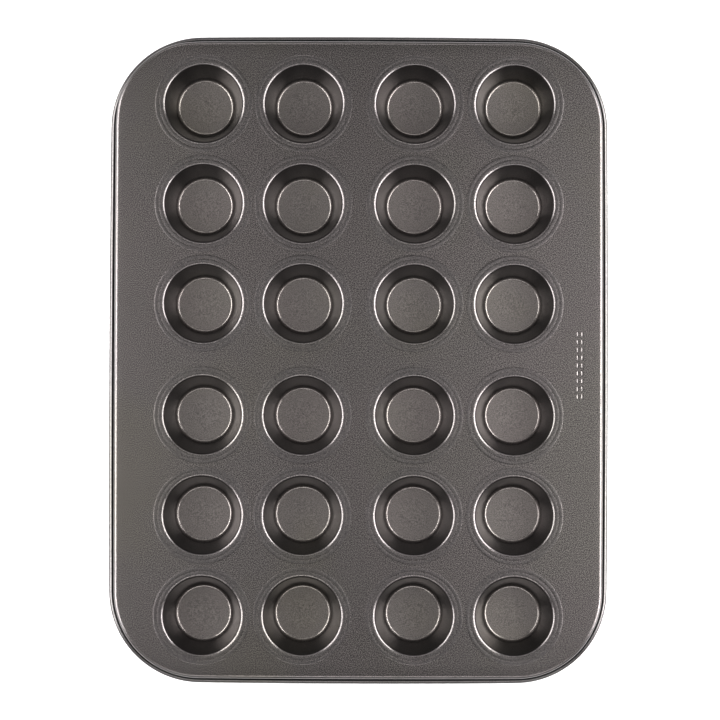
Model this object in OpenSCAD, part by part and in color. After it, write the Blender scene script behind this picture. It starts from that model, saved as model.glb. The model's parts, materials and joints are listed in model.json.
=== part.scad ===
// Muffin tin: one pressed and coated steel sheet with round tapered cups, and a wire rolled into its rim.
// The sheet is stored as separate nodes that meet face to face: each cup with the patch of deck round it,
// and the rim as four sides and four corners. Millimetres, +Z up. The cups stand on z = 0, and the
// origin is below the middle of the tin. X is the width, Y the length. Row 1 is at +Y, column 1 at -X.

/* [Tin] */
// Overall length, over the rolled rim
tin_length = 350; // [345:1:400]
// Overall width, over the rolled rim
tin_width = 270; // [245:1:320]
// Radius of the outline's corners, at the outside of the rim
corner_radius = 50; // [30:1:60]
// Thickness of the steel sheet
sheet = 0.6; // [0.4:0.1:0.8]

/* [Cups] */
// Distance between the middles of neighbouring cups
cup_pitch = 53.9; // [50:0.1:56]
// Distance between the middles of the cups on either side of the tin's centre lines
centre_pitch = 60.1; // [56:0.1:62]
// Depth from the top of the deck to the inside of the cup's base
cup_depth = 20; // [14:1:28]
// Radius of the circle where the deck starts to turn down into the cup
mouth_radius = 22.7; // [20:0.1:24]
// Radius of the flat base, inside the cup
base_radius = 13.7; // [10:0.1:15]
// Radius of the bend at the cup's mouth, on its upper side
mouth_bend = 2.2; // [1.5:0.1:3]
// Radius of the bend round the cup's base, on its upper side
base_bend = 1.5; // [1:0.1:3]

/* [Rim] */
// Diameter of the wire inside the rolled rim
wire_diameter = 2.5; // [2:0.1:3.5]
// Height from the top of the deck to the bottom of the rolled rim
rim_drop = 9; // [7.5:0.5:12]
// Radius of the bend between the deck and the skirt, on its upper side
deck_bend = 2.2; // [1:0.1:3]

/* [Hidden] */
columns = 4;
rows = 6;
wire_clearance = 0.05;
wire_joint_gap = 1;
bend_steps = 5;
curl_steps = 24;
curl_start = 180;
curl_sweep = 308;
$fn = 96;

deck_top = cup_depth + sheet;
deck_underside = cup_depth;
curl_inside = wire_diameter / 2 + wire_clearance;
curl_outside = curl_inside + sheet;
// distances in from the outline: to the skirt's outer face, and to where the deck starts to bend down
skirt_inset = curl_outside + curl_inside;
deck_inset = skirt_inset + deck_bend;
bead_height = deck_top - rim_drop + curl_outside;
side_length = tin_length - 2 * corner_radius;
end_length = tin_width - 2 * corner_radius;

steel = [0.31, 0.30, 0.29];
rim_steel = [0.36, 0.35, 0.34];
wire_steel = [0.62, 0.62, 0.63];

sides = ["rim_left", "rim_right", "rim_front", "rim_back"];
corners = ["corner_back_right", "corner_back_left", "corner_front_left", "corner_front_right"];

function cup_name(r, c) = str("cup_r", r, "_c", c);

// Cups are placed outwards from the tin's centre line: rank 1 is next to it
function rank(i, n) = i > n / 2 ? i - n / 2 : n / 2 + 1 - i;
function middle(i, n) = centre_pitch / 2 + (rank(i, n) - 1) * cup_pitch;
function inner_edge(i, n) = rank(i, n) == 1 ? 0 : middle(i, n) - cup_pitch / 2;
function outer_edge(i, n, deck_edge) = rank(i, n) == n / 2 ? deck_edge : middle(i, n) + cup_pitch / 2;

// Points along an arc, both ends included
function arc(centre, radius, from, sweep, steps) =
    [for (i = [0:steps]) centre + radius * [cos(from + sweep * i / steps), sin(from + sweep * i / steps)]];

// The wall is the straight line tangent to the mouth's bend and the base's bend. Its angle is from vertical.
mouth_centre = [mouth_radius, deck_top - mouth_bend];
base_centre = [base_radius, sheet + base_bend];
between = mouth_centre - base_centre;
wall_angle = acos((mouth_bend + base_bend) / norm(between)) - atan2(between.y, between.x);

// One side of the cup's sheet, from the deck down to the base, moved below the upper side by depth
function cup_side(depth) = concat(
    arc(mouth_centre, mouth_bend - depth, 90, 90 - wall_angle, bend_steps),
    arc(base_centre, base_bend + depth, -wall_angle, wall_angle - 90, bend_steps),
    [[0, sheet - depth]]
);

// One side of the rim's sheet, from the deck to the end of the curl, by height and distance from the outline
function rim_side(depth) = concat(
    arc([-deck_inset, deck_top - deck_bend], deck_bend - depth, 90, -90, bend_steps),
    arc([-curl_outside, bead_height], curl_inside + depth, curl_start, curl_sweep, curl_steps)
);

module sheet_between(upper, under) {
    polygon(concat(upper, [for (i = [len(under) - 1:-1:0]) under[i]]));
}

module rim_section() {
    sheet_between(rim_side(0), rim_side(sheet));
}

module wire_section() {
    translate([-curl_outside, bead_height]) circle(d = wire_diameter);
}

// The flat deck's outline in the quarter x > 0, y > 0, with the tin's round corner
module deck_quarter() {
    deck_corner = corner_radius - deck_inset;
    square([tin_width / 2 - corner_radius, tin_length / 2 - deck_inset]);
    square([tin_width / 2 - deck_inset, tin_length / 2 - corner_radius]);
    translate([tin_width / 2 - corner_radius, tin_length / 2 - corner_radius]) circle(r = deck_corner);
}

// The patch of deck that belongs to a cup, drawn in the quarter x > 0, y > 0
module deck_patch(r, c) {
    low = [inner_edge(c, columns), inner_edge(r, rows)];
    high = [
        outer_edge(c, columns, tin_width / 2 - deck_inset),
        outer_edge(r, rows, tin_length / 2 - deck_inset)
    ];
    difference() {
        intersection() {
            translate(low) square(high - low);
            deck_quarter();
        }
        translate([middle(c, columns), middle(r, rows)]) circle(r = mouth_radius);
    }
}

module cup(r, c) {
    side = [c > columns / 2 ? 1 : -1, r > rows / 2 ? -1 : 1];
    color(steel) scale([side.x, side.y, 1]) {
        translate([0, 0, deck_underside]) linear_extrude(sheet) deck_patch(r, c);
        translate([middle(c, columns), middle(r, rows), 0])
            rotate_extrude() sheet_between(cup_side(0), cup_side(sheet));
    }
}

// A straight stretch of a section, centred on the origin, with the outline's edge at +X
module straight(length) {
    rotate([90, 0, 0]) linear_extrude(length, center = true) children();
}

// A side of the rim, turned from +X to the given angle
module rim_stretch(turn, reach, length) {
    color(rim_steel) rotate([0, 0, turn]) translate([reach, 0, 0]) straight(length) rim_section();
}

// A section swept round the corner at +X, +Y
module corner_sweep() {
    translate([tin_width / 2 - corner_radius, tin_length / 2 - corner_radius, 0])
        rotate_extrude(angle = 90) translate([corner_radius, 0]) children();
}

module corner(side) {
    color(rim_steel) scale([side.x, side.y, 1]) corner_sweep() rim_section();
}

module rim_left() {
    rim_stretch(180, tin_width / 2, side_length);
}

module rim_right() {
    rim_stretch(0, tin_width / 2, side_length);
}

module rim_front() {
    rim_stretch(270, tin_length / 2, end_length);
}

module rim_back() {
    rim_stretch(90, tin_length / 2, end_length);
}

// The wire is one loop, whose cut ends meet with a small gap in the middle of the back
module rim_wire() {
    piece = (end_length - wire_joint_gap) / 2;
    color(wire_steel) {
        for (turn = [0, 180]) rotate([0, 0, turn]) translate([tin_width / 2, 0, 0])
            straight(side_length) wire_section();
        rotate([0, 0, 270]) translate([tin_length / 2, 0, 0]) straight(end_length) wire_section();
        for (s = [-1, 1]) translate([s * (wire_joint_gap + piece) / 2, tin_length / 2, 0])
            rotate([0, 0, 90]) straight(piece) wire_section();
        for (x = [-1, 1], y = [-1, 1]) scale([x, y, 1]) corner_sweep() wire_section();
    }
}

for (r = [1:rows], c = [1:columns]) {
    cup(r, c);
}
rim_left();
rim_right();
rim_front();
rim_back();
corner([1, 1]);  // corner_back_right
corner([-1, 1]);  // corner_back_left
corner([-1, -1]);  // corner_front_left
corner([1, -1]);  // corner_front_right
rim_wire();
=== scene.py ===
import json
import math

import bpy
from mathutils import Matrix, Vector, geometry, noise


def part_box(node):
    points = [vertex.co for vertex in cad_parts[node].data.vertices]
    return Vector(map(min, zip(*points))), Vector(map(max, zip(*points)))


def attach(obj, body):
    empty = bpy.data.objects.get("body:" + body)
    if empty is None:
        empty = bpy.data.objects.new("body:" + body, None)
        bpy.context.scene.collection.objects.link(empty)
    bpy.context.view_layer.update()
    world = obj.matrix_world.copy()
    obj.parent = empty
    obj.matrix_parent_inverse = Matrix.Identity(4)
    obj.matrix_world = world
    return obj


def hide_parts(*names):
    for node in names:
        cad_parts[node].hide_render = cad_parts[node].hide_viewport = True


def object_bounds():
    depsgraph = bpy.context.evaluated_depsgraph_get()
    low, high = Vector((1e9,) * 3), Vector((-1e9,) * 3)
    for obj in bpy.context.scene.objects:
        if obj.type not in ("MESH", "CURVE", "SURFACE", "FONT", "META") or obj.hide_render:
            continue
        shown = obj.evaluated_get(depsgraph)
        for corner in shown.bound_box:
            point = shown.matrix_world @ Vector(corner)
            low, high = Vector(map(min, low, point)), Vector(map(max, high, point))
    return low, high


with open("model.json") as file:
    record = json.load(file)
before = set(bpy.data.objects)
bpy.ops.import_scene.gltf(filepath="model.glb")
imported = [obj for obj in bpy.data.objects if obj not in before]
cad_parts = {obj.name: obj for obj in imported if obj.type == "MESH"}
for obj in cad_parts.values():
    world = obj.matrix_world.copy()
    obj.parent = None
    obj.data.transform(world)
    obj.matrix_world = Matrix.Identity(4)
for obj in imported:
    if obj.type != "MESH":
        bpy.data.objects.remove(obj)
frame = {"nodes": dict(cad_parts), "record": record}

CAD_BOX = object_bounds()
MM = 0.001

# ---------------------------------------------------------------- sizes
# From the frame. The rim's sides and corners give the widths of the bend, the bead and the corners.
HIGH = Vector(CAD_BOX[1])
DECK_TOP = HIGH.z
RIM_LOW, RIM_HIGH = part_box("rim_right")
DECK_INSET = RIM_HIGH.x - RIM_LOW.x
CORNER_LOW, CORNER_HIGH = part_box("corner_back_right")
CORNER_RADIUS = CORNER_HIGH.x - CORNER_LOW.x
WIRE_LOW, WIRE_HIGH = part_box("rim_wire")
WIRE_RADIUS = (WIRE_HIGH.z - WIRE_LOW.z) / 2
BEAD_HEIGHT = (WIRE_HIGH.z + WIRE_LOW.z) / 2
CURL_OUTSIDE = BEAD_HEIGHT - RIM_LOW.z
SHEET_NODES = sorted(n for n in frame["nodes"] if n != "rim_wire")

# The sheet and the cups, as in the CAD part
SHEET = 0.6 * MM
MOUTH_RADIUS = 22.7 * MM
MOUTH_BEND = 2.2 * MM
BASE_RADIUS = 13.7 * MM
BASE_BEND = 1.5 * MM
# Looser than in the CAD part: a wider bend above the base's tight one, and a base that rises to its edge
FOOT_BEND = 5.0 * MM
FOOT_TURN = math.radians(36)
BASE_DISH = 0.32 * MM

# The rim. The curl stops short of the skirt, which leaves a narrow gap beside the wire.
CURL_INSIDE = CURL_OUTSIDE - SHEET
DECK_BEND = DECK_INSET - CURL_OUTSIDE - CURL_INSIDE
CURL_START = math.radians(180)
CURL_SWEEP = math.radians(273)

# Marks that pressing leaves: a low collar round each cup, with a shallow hollow round its middle
COLLAR_HEIGHT = 0.13 * MM
COLLAR_RADIUS = 26.0 * MM
COLLAR_SLOPE = 0.9 * MM
HOLLOW_RADIUS = 24.05 * MM
HOLLOW_WIDTH = 0.45 * MM
HOLLOW_DEPTH = 0.09 * MM
# Each cup's own rings of points end here, where the deck's triangles begin
RING_RADIUS = 26.75 * MM

# Plain pressed dents in the right margin, in pairs down a row
DENT_ROWS = 9
DENT_SPACING = 4.2 * MM
DENT_WIDTH = 1.2 * MM
DENT_OFFSET = 1.2 * MM
DENT_LENGTH = 2.7 * MM
DENT_DEPTH = 0.2 * MM
DENT_EDGE = 0.5 * MM
DENTS_AT = (119.2 * MM, -2.8 * MM)
DENT_GRID = 0.25 * MM
DENT_MARGIN = 0.5 * MM
DENT_REACH = (
    DENT_OFFSET + DENT_WIDTH / 2 + DENT_MARGIN,
    (DENT_ROWS // 2) * DENT_SPACING + DENT_LENGTH / 2 + DENT_MARGIN,
)

# How far the sheet wanders from flat, and the sides from straight
DECK_WAVE = 0.10 * MM
WAVE_LENGTH = 85 * MM
BASE_WAVE = 0.05 * MM
BASE_WAVE_LENGTH = 24 * MM
SIDE_BOW = 0.5 * MM
CORNER_LEAN = 1.0 * MM
LEANING_CORNER = Vector((-1, 1)).normalized()
DECK_BOW = 0.25 * MM

# Mesh density. Steps along a section are named after the part of the section that they divide.
CUP_SEGMENTS = 80
GRID = 4.2 * MM
BASE_RINGS = (0.2, 0.4, 0.6, 0.8, 0.93)
TIGHT_STEPS = 6
FOOT_STEPS = 8
WALL_RINGS = (0.25, 0.5, 0.75)
MOUTH_STEPS = 12
COLLAR_STEPS = 22
BEND_STEPS = 8
SKIRT_RINGS = (0.33, 0.67)
CURL_STEPS = 26
CORNER_STEPS = 26
END_STEPS = 30
SIDE_STEPS = 44
WIRE_SIDES = 16


def smooth_step(t):
    """0 below t = 0 and 1 above t = 1, with a smooth rise between."""
    t = min(max(t, 0.0), 1.0)
    return t * t * (3 - 2 * t)


def cup_centres():
    """The axis of each cup, from the opening that the record states inside it."""
    out = {}
    for opening in frame["record"]["physics"]["openings"]:
        if opening["name"].startswith("cup_"):
            low, high = opening["box_m"]
            out[opening["name"].replace("_inside", "")] = (
                (low[0] + high[0]) / 2,
                (low[1] + high[1]) / 2,
            )
    return out


CUPS = cup_centres()


def wave(x, y):
    """The deck's gentle unevenness, never above zero."""
    p = Vector((x, y, 3.7 * WAVE_LENGTH)) / WAVE_LENGTH
    return DECK_WAVE * (noise.noise(p) - 1) * 0.5


def arc(centre, radius, start, sweep, steps):
    """Points along an arc, both ends included."""
    return [
        (
            centre[0] + radius * math.cos(start + sweep * i / steps),
            centre[1] + radius * math.sin(start + sweep * i / steps),
        )
        for i in range(steps + 1)
    ]


# ---------------------------------------------------------------- sections
def relief(r):
    """Height of the pressing marks at a distance from a cup's axis, from the collar's top."""
    step = smooth_step((r - COLLAR_RADIUS) / COLLAR_SLOPE + 0.5)
    hollow = math.exp(-(((r - HOLLOW_RADIUS) / HOLLOW_WIDTH) ** 2))
    return -COLLAR_HEIGHT * step - HOLLOW_DEPTH * hollow


def wall_angle(foot):
    """The wall's angle from vertical: it is tangent to the bends at the mouth and above the base."""
    across = MOUTH_RADIUS - foot[0]
    down = (DECK_TOP - MOUTH_BEND) - foot[1]
    span = math.hypot(across, down)
    return math.acos((MOUTH_BEND + FOOT_BEND) / span) - math.atan2(down, across)


def cup_section(depth):
    """(radius, height) from the middle of the base out to the deck, moved below the upper side by depth."""
    quarter = math.pi / 2
    base_centre = (BASE_RADIUS, SHEET + BASE_BEND)
    reach = FOOT_BEND - BASE_BEND
    foot_centre = (
        base_centre[0] - reach * math.sin(FOOT_TURN),
        base_centre[1] + reach * math.cos(FOOT_TURN),
    )
    angle = wall_angle(foot_centre)
    base = [(BASE_RADIUS * t, SHEET - depth) for t in BASE_RINGS]
    tight = arc(base_centre, BASE_BEND + depth, -quarter, FOOT_TURN, TIGHT_STEPS)
    rest_of_turn = quarter - angle - FOOT_TURN
    foot = arc(foot_centre, FOOT_BEND + depth, FOOT_TURN - quarter, rest_of_turn, FOOT_STEPS)
    mouth_centre = (MOUTH_RADIUS, DECK_TOP - MOUTH_BEND)
    mouth = arc(mouth_centre, MOUTH_BEND - depth, math.pi - angle, angle - quarter, MOUTH_STEPS)
    start, end = foot[-1], mouth[0]
    wall = [
        (start[0] + (end[0] - start[0]) * t, start[1] + (end[1] - start[1]) * t)
        for t in WALL_RINGS
    ]
    collar = [
        (MOUTH_RADIUS + (RING_RADIUS - MOUTH_RADIUS) * (i + 1) / COLLAR_STEPS, DECK_TOP - depth)
        for i in range(COLLAR_STEPS)
    ]
    return base + tight + foot[1:] + wall + mouth + collar


def rim_section(depth):
    """(distance in from the outline, height) from the deck's edge down the skirt and round the curl."""
    quarter = math.pi / 2
    bend_centre = (-DECK_INSET, DECK_TOP - DECK_BEND)
    bend = arc(bend_centre, DECK_BEND - depth, quarter, -quarter, BEND_STEPS)
    curl_centre = (-CURL_OUTSIDE, BEAD_HEIGHT)
    curl = arc(curl_centre, CURL_INSIDE + depth, CURL_START, CURL_SWEEP, CURL_STEPS)
    top, bottom = bend[-1], curl[0]
    skirt = [
        (top[0] + (bottom[0] - top[0]) * t, top[1] + (bottom[1] - top[1]) * t)
        for t in SKIRT_RINGS
    ]
    return [(-x, z) for x, z in bend + skirt + curl]


# ---------------------------------------------------------------- the outline
def stretch(start, end, steps):
    """Even steps from start, with the end left out."""
    return [start + (end - start) * i / steps for i in range(steps)]


def outline_stations():
    """Stations round the outline, each (point on the corners' inner frame, outward normal, share).

    The share runs from 0 in the middle of a side to 1 at its ends and all round the corners.
    """
    half_x = HIGH.x - CORNER_RADIUS
    half_y = HIGH.y - CORNER_RADIUS
    out = []
    for quarter, (sx, sy) in enumerate(((1, 1), (-1, 1), (-1, -1), (1, -1))):
        centre = Vector((sx * half_x, sy * half_y))
        for angle in stretch(quarter * 90, quarter * 90 + 90, CORNER_STEPS):
            a = math.radians(angle)
            out.append((centre, Vector((math.cos(a), math.sin(a))), 1.0))
        a = math.radians(quarter * 90 + 90)
        normal = Vector((round(math.cos(a)), round(math.sin(a))))
        nx, ny = ((-1, 1), (-1, -1), (1, -1), (1, 1))[quarter]
        following = Vector((nx * half_x, ny * half_y))
        steps = END_STEPS if quarter % 2 == 0 else SIDE_STEPS
        for i in range(steps):
            t = i / steps
            out.append((centre.lerp(following, t), normal, abs(2 * t - 1)))
    return out


STATIONS = outline_stations()


def rim_point(station, inset, height):
    """A point of the rim. The sides' middles bow out and the deck leans out over one corner's bead."""
    centre, normal, share = station
    down = smooth_step((DECK_TOP - height) / (DECK_TOP - BEAD_HEIGHT - CURL_OUTSIDE))
    bow = (DECK_BOW + (SIDE_BOW - DECK_BOW) * down) * share**2
    lean = CORNER_LEAN * (1 - down) * smooth_step((normal.dot(LEANING_CORNER) - 0.75) / 0.2)
    place = centre + normal * (CORNER_RADIUS - inset - bow + lean)
    fade = smooth_step(1 - (DECK_TOP - height) / (3 * MM))
    edge = wave(place.x, place.y) - COLLAR_HEIGHT
    return place.x, place.y, height + edge * fade


# ---------------------------------------------------------------- mesh building
class Builder:
    """Collects points and faces. A point that two patches share is stored once."""

    def __init__(self):
        self.points, self.faces, self.index = [], [], {}

    def point(self, x, y, z):
        key = (round(x * 1e7), round(y * 1e7), round(z * 1e7))
        if key not in self.index:
            self.index[key] = len(self.points)
            self.points.append((x, y, z))
        return self.index[key]

    def face(self, corners, flip):
        corners = [c for i, c in enumerate(corners) if c != corners[i - 1]]
        if len(corners) > 2:
            self.faces.append(corners[::-1] if flip else corners)

    def rows(self, rows, flip, closed=True):
        """Quads between successive rows of points."""
        for a, b in zip(rows, rows[1:]):
            n = len(a)
            for i in range(n if closed else n - 1):
                j = (i + 1) % n
                self.face([a[i], a[j], b[j], b[i]], flip)

    def object(self, name):
        mesh = bpy.data.meshes.new(name)
        mesh.from_pydata(self.points, [], self.faces)
        mesh.validate()
        mesh.shade_smooth()
        thing = bpy.data.objects.new(name, mesh)
        bpy.context.scene.collection.objects.link(thing)
        return thing


def cup_point(cx, cy, r, z, angle, seed):
    """A point of a cup, with the deck's wave at its mouth and the base's own unevenness at its foot."""
    x, y = cx + r * math.cos(angle), cy + r * math.sin(angle)
    lift = smooth_step((r - BASE_RADIUS) / (MOUTH_RADIUS - BASE_RADIUS))
    uneven = max(0.0, noise.noise(Vector((x, y, seed * 0.31)) / BASE_WAVE_LENGTH) + 0.3)
    dish = BASE_DISH * (min(r, BASE_RADIUS) / BASE_RADIUS) ** 2
    raised = (dish + BASE_WAVE * uneven) * (1 - lift)
    return x, y, z + (wave(x, y) + relief(r)) * lift + raised


def add_cup(build, centre, depth, seed):
    """One drawn cup and its collar. Returns the ring of points where it meets the deck."""
    cx, cy = centre
    angles = [2 * math.pi * i / CUP_SEGMENTS for i in range(CUP_SEGMENTS)]
    rows = [
        [build.point(*cup_point(cx, cy, r, z, a, seed)) for a in angles] for r, z in cup_section(depth)
    ]
    middle = build.point(*cup_point(cx, cy, 0.0, SHEET - depth, 0.0, seed))
    build.rows(rows, depth == 0)
    for i in range(CUP_SEGMENTS):
        build.face([middle, rows[0][i], rows[0][(i + 1) % CUP_SEGMENTS]], depth > 0)
    return rows[-1]


def add_rim(build, depth):
    """The bend, skirt and curl. Returns its first and last loops of points."""
    rows = [
        [build.point(*rim_point(s, inset, height)) for s in STATIONS]
        for inset, height in rim_section(depth)
    ]
    build.rows(rows, depth == 0)
    return rows[0], rows[-1]


def near_dents(x, y, margin):
    across, along = abs(x - DENTS_AT[0]), abs(y - DENTS_AT[1])
    return across < DENT_REACH[0] + margin and along < DENT_REACH[1] + margin


def inner_grid():
    """Points spread over the deck, closer at the dents, clear of the cups and of the deck's edge."""
    out = []
    edge = DECK_INSET + 0.45 * GRID
    nx, ny = int((HIGH.x - edge) / GRID), int((HIGH.y - edge) / GRID)
    for i in range(-nx, nx + 1):
        for j in range(-ny, ny + 1):
            x, y = i * GRID, (j + 0.5 * (i % 2)) * GRID
            if not near_dents(x, y, 0.4 * GRID):
                out.append((x, y))
    nx, ny = int(DENT_REACH[0] / DENT_GRID), int(DENT_REACH[1] / DENT_GRID)
    for i in range(-nx, nx + 1):
        for j in range(-ny, ny + 1):
            out.append((DENTS_AT[0] + i * DENT_GRID, DENTS_AT[1] + j * DENT_GRID))
    reach = RING_RADIUS + 0.4 * GRID

    def clear(x, y):
        if any(math.hypot(x - cx, y - cy) < reach for cx, cy in CUPS.values()):
            return False
        dx = max(abs(x) - (HIGH.x - CORNER_RADIUS), 0)
        dy = max(abs(y) - (HIGH.y - CORNER_RADIUS), 0)
        return math.hypot(dx, dy) < CORNER_RADIUS - edge

    return [p for p in out if clear(*p)]


def dent(x, y):
    """Depth pressed into the deck by the pairs of dents."""
    along = (y - DENTS_AT[1]) / DENT_SPACING
    nearest = min(max(round(along), -(DENT_ROWS // 2)), DENT_ROWS // 2)
    dx = abs(abs(x - DENTS_AT[0]) - DENT_OFFSET) - DENT_WIDTH / 2
    dy = abs(along - nearest) * DENT_SPACING - DENT_LENGTH / 2
    return DENT_DEPTH * smooth_step(-dx / DENT_EDGE) * smooth_step(-dy / DENT_EDGE)


def deck_height(x, y, depth):
    return DECK_TOP - depth - COLLAR_HEIGHT + wave(x, y) - dent(x, y)


def add_deck(build, loops, depth, pattern):
    """The flat deck between the cups' collars and the deck's edge, from one triangulation for both sides."""
    triangles, inner = pattern
    numbers = [i for loop in loops for i in loop]
    numbers += [build.point(x, y, deck_height(x, y, depth)) for x, y in inner]
    for a, b, c in triangles:
        build.face([numbers[a], numbers[b], numbers[c]], depth > 0)


def deck_pattern(build, loops):
    """One triangulation of the deck between the loops, as (triangles, points inside it)."""
    inner = inner_grid()
    flat = [build.points[i][:2] for loop in loops for i in loop] + inner
    edges, start = [], 0
    for loop in loops:
        edges += [(start + i, start + (i + 1) % len(loop)) for i in range(len(loop))]
        start += len(loop)
    points, _, faces, origin, _, _ = geometry.delaunay_2d_cdt(
        [Vector(p) for p in flat], edges, [], 0, 1e-9
    )
    ring = RING_RADIUS * math.cos(math.pi / CUP_SEGMENTS) - 1e-6
    limit = CORNER_RADIUS - DECK_INSET + CORNER_LEAN
    triangles = []
    for f in faces:
        middle = sum((points[i] for i in f), Vector((0, 0))) / 3
        dx = max(abs(middle.x) - (HIGH.x - CORNER_RADIUS), 0)
        dy = max(abs(middle.y) - (HIGH.y - CORNER_RADIUS), 0)
        inside_cup = any(math.hypot(middle.x - cx, middle.y - cy) < ring for cx, cy in CUPS.values())
        if not inside_cup and math.hypot(dx, dy) < limit:
            triangles.append([origin[i][0] for i in f])
    return triangles, inner


def make_sheet():
    """The whole pressed sheet as one closed shell: upper side, underside and the curl's cut edge."""
    build = Builder()
    ends, pattern = [], None
    for depth in (0.0, SHEET):
        loops = [add_cup(build, c, depth, k) for k, c in enumerate(CUPS.values())]
        first, last = add_rim(build, depth)
        loops.append(first)
        ends.append(last)
        pattern = pattern or deck_pattern(build, loops)
        add_deck(build, loops, depth, pattern)
    build.rows(ends, True)
    return build.object("pressed_sheet")


def make_wire():
    """The rim wire, following the curl. Its cut ends meet in the middle of the back."""
    build = Builder()
    back = next(i for i, s in enumerate(STATIONS) if s[1].y > 0.999 and s[2] < 0.01)
    order = STATIONS[back + 1:] + STATIONS[:back]
    rows = []
    for station in order:
        ring = []
        for k in range(WIRE_SIDES):
            a = 2 * math.pi * k / WIRE_SIDES
            inset = CURL_OUTSIDE - WIRE_RADIUS * math.cos(a)
            bow = SIDE_BOW * station[2] ** 2
            place = station[0] + station[1] * (CORNER_RADIUS - inset - bow)
            ring.append(build.point(place.x, place.y, BEAD_HEIGHT + WIRE_RADIUS * math.sin(a)))
        rows.append(ring)
    build.rows(rows, True)
    build.face(rows[0], False)
    build.face(rows[-1], True)
    return build.object("rim_wire_loop")


# ---------------------------------------------------------------- materials
class Finish:
    """A material under construction, with short names for the nodes that it uses."""

    def __init__(self, name):
        self.material = bpy.data.materials.new(name)
        self.material.use_nodes = True
        self.nodes = self.material.node_tree.nodes
        self.links = self.material.node_tree.links
        self.shader = self.nodes["Principled BSDF"]

    def place(self):
        return self.nodes.new("ShaderNodeTexCoord").outputs["Object"]

    def height(self):
        node = self.nodes.new("ShaderNodeSeparateXYZ")
        self.links.new(self.place(), node.inputs["Vector"])
        return node.outputs["Z"]

    def grain(self, scale, detail=2, roughness=0.5):
        """Noise with so many grains to a metre."""
        node = self.nodes.new("ShaderNodeTexNoise")
        node.inputs["Scale"].default_value = scale
        node.inputs["Detail"].default_value = detail
        node.inputs["Roughness"].default_value = roughness
        self.links.new(self.place(), node.inputs["Vector"])
        return node.outputs["Fac"]

    def share(self, source, start, end):
        """How far a value lies from start to end, from 0 to 1."""
        node = self.nodes.new("ShaderNodeMapRange")
        node.inputs["From Min"].default_value = start
        node.inputs["From Max"].default_value = end
        self.links.new(source, node.inputs["Value"])
        return node.outputs["Result"]

    def spread(self, source, low, high):
        """A value from 0 to 1, stretched to run from low to high."""
        node = self.nodes.new("ShaderNodeMapRange")
        node.inputs["To Min"].default_value = low
        node.inputs["To Max"].default_value = high
        self.links.new(source, node.inputs["Value"])
        return node.outputs["Result"]

    def ramp(self, source, *stops):
        """Colours by value. Each stop is (position, (red, green, blue))."""
        node = self.nodes.new("ShaderNodeValToRGB")
        elements = node.color_ramp.elements
        elements[0].position, elements[0].color = stops[0][0], (*stops[0][1], 1)
        elements[1].position, elements[1].color = stops[-1][0], (*stops[-1][1], 1)
        for position, colour in stops[1:-1]:
            elements.new(position).color = (*colour, 1)
        self.links.new(source, node.inputs["Fac"])
        return node.outputs["Color"]

    def multiply(self, a, b):
        node = self.nodes.new("ShaderNodeMix")
        node.data_type = "RGBA"
        node.blend_type = "MULTIPLY"
        node.inputs["Factor"].default_value = 1
        self.links.new(a, node.inputs["A"])
        self.links.new(b, node.inputs["B"])
        return node.outputs["Result"]

    def fade_to_white(self, colour, amount):
        node = self.nodes.new("ShaderNodeMix")
        node.data_type = "RGBA"
        node.inputs["B"].default_value = (1, 1, 1, 1)
        self.links.new(amount, node.inputs["Factor"])
        self.links.new(colour, node.inputs["A"])
        return node.outputs["Result"]

    def bump(self, source, strength, distance):
        node = self.nodes.new("ShaderNodeBump")
        node.inputs["Strength"].default_value = strength
        node.inputs["Distance"].default_value = distance
        self.links.new(source, node.inputs["Height"])
        self.links.new(node.outputs["Normal"], self.shader.inputs["Normal"])

    def use(self, source, socket):
        self.links.new(source, self.shader.inputs[socket])

    def set(self, **values):
        for name, value in values.items():
            self.shader.inputs[name.replace("_", " ").title()].default_value = value


def coated_steel():
    """Dark non-stick coating with fine metallic flakes, painted lighter on the bases (painted bounce light)
    and darker on the walls (painted shade).
    """
    finish = Finish("coated_steel")
    tone = finish.ramp(
        finish.grain(11, 3),
        (0.32, (0.121, 0.113, 0.107)),
        (0.45, (0.118, 0.110, 0.110)),
        (0.57, (0.120, 0.110, 0.111)),
        (0.68, (0.118, 0.111, 0.108)),
    )
    flakes = finish.ramp(
        finish.grain(2400, 1, 0.6),
        (0.36, (0.12, 0.12, 0.13)),
        (0.64, (2.05, 2.02, 1.95)),
    )
    level = finish.share(finish.height(), 1.2 * MM, DECK_TOP)
    # painted light by height: the bases painted lighter as painted bounce light, the cups' walls painted
    # darker as painted shade
    painted_light_by_height = finish.ramp(
        level,
        (0.0, (1.42, 1.40, 1.35)),
        (0.09, (0.84, 0.86, 0.86)),
        (0.80, (0.86, 0.88, 0.88)),
        (0.96, (1, 1, 1)),
    )
    # how far the flakes are evened out: on the bases, walls and bends, not on the deck, then on the collars
    calm = finish.ramp(
        level,
        (0.0, (0.62, 0.62, 0.62)),
        (0.985, (0.72, 0.72, 0.72)),
        (0.9885, (0, 0, 0)),
        (0.9935, (0, 0, 0)),
        (0.996, (0.6, 0.6, 0.6)),
    )
    speckled = finish.multiply(tone, finish.fade_to_white(flakes, calm))
    finish.use(finish.multiply(speckled, painted_light_by_height), "Base Color")
    finish.use(finish.spread(finish.grain(60, 4), 0.277, 0.312), "Roughness")
    finish.bump(finish.grain(1700, 2, 0.6), 0.3, 0.05 * MM)
    finish.set(metallic=0.98)
    return finish.material


def wire_steel():
    """Near-black steel, painted dark as painted shade so that the slot beside the curl reads as a black gap.
    """
    finish = Finish("wire_steel")
    # painted shade: the wire's near-black colour stands in for the shadow in the gap between the curl and
    # the skirt
    scale = finish.ramp(
        finish.grain(350),
        (0.0, (0.012, 0.012, 0.013)),
        (1.0, (0.030, 0.030, 0.032)),
    )
    finish.use(scale, "Base Color")
    finish.set(metallic=1.0, roughness=0.45)
    return finish.material


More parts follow.
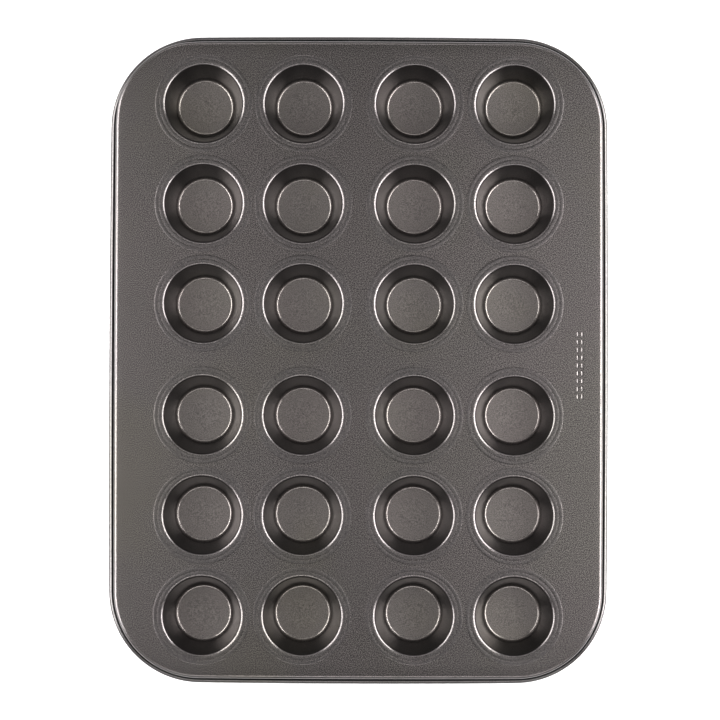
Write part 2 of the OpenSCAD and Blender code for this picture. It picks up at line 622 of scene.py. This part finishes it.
def floor_white():
    finish = Finish("studio_floor")
    finish.set(base_color=(0.9, 0.9, 0.9, 1), roughness=0.9)
    return finish.material


# ---------------------------------------------------------------- pieces
sheet = make_sheet()
sheet.data.materials.append(coated_steel())
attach(sheet, "root")
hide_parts(*SHEET_NODES)

wire = make_wire()
wire.data.materials.append(wire_steel())
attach(wire, "root")
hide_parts("rim_wire")


# ---------------------------------------------------------------- studio
FLOOR_HALF = 3.0
WORLD_STRENGTH = 0.25
VIEW_GAMMA = 0.85

# Each lamp: where it is and what it points at (m), its width and height (m), and its power (W)
LAMPS = {
    "softbox_left": ((-0.40, 0.0, 0.268), (0, 0, 0.214), (0.6, 0.33), 6.9),
    "softbox_right": ((0.40, 0.0, 0.268), (0, 0, 0.214), (0.6, 0.33), 8.0),
    "softbox_front": ((0.0, -0.6, 0.50), (0, 0, 0), (0.9, 0.29), 3.1),
    "softbox_back": ((0.0, 0.6, 0.50), (0, 0, 0), (0.9, 0.29), 2.1),
    "overhead_left": ((-0.33, 0.0, 1.25), (0, 0, 0), (0.8, 0.56), 1.36),
    "overhead_right": ((0.33, 0.0, 1.25), (0, 0, 0), (0.8, 0.56), 1.76),
}

# The camera looks almost straight down. Its tilt about each axis is in degrees.
CAMERA_AT = Vector((-1.6, -15.96, 1129.0)) * MM
CAMERA_TILT = {"X": 0.812, "Y": -0.122, "Z": 0.181}
SENSOR_WIDTH = 36
CAMERA_LENS = 103.07


def add_lamp(name, place, target, size, power):
    data = bpy.data.lights.new(name, "AREA")
    data.shape = "RECTANGLE"
    data.size, data.size_y = size
    data.energy = power
    lamp = bpy.data.objects.new(name, data)
    bpy.context.scene.collection.objects.link(lamp)
    lamp.location = place
    lamp.rotation_euler = (Vector(target) - Vector(place)).to_track_quat("-Z", "Y").to_euler()


def make_floor():
    mesh = bpy.data.meshes.new("floor")
    corners = [(sx * FLOOR_HALF, sy * FLOOR_HALF, 0) for sx, sy in ((-1, -1), (1, -1), (1, 1), (-1, 1))]
    mesh.from_pydata(corners, [], [(0, 1, 2, 3)])
    floor = bpy.data.objects.new("floor", mesh)
    floor.data.materials.append(floor_white())
    bpy.context.scene.collection.objects.link(floor)


def make_world():
    world = bpy.data.worlds.new("studio")
    bpy.context.scene.world = world
    world.use_nodes = True
    background = world.node_tree.nodes["Background"]
    background.inputs["Color"].default_value = (1, 1, 1, 1)
    background.inputs["Strength"].default_value = WORLD_STRENGTH


def make_camera():
    data = bpy.data.cameras.new("camera")
    data.sensor_width = SENSOR_WIDTH
    data.lens = CAMERA_LENS
    data.clip_end = 20
    camera = bpy.data.objects.new("camera", data)
    bpy.context.scene.collection.objects.link(camera)
    turn = Matrix.Identity(4)
    for axis in "ZYX":
        turn = turn @ Matrix.Rotation(math.radians(CAMERA_TILT[axis]), 4, axis)
    camera.matrix_world = Matrix.Translation(CAMERA_AT) @ turn
    bpy.context.scene.camera = camera


make_floor()
make_world()
for lamp_name, settings in LAMPS.items():
    add_lamp(lamp_name, *settings)
make_camera()
bpy.context.scene.view_settings.view_transform = "Standard"
bpy.context.scene.view_settings.gamma = VIEW_GAMMA
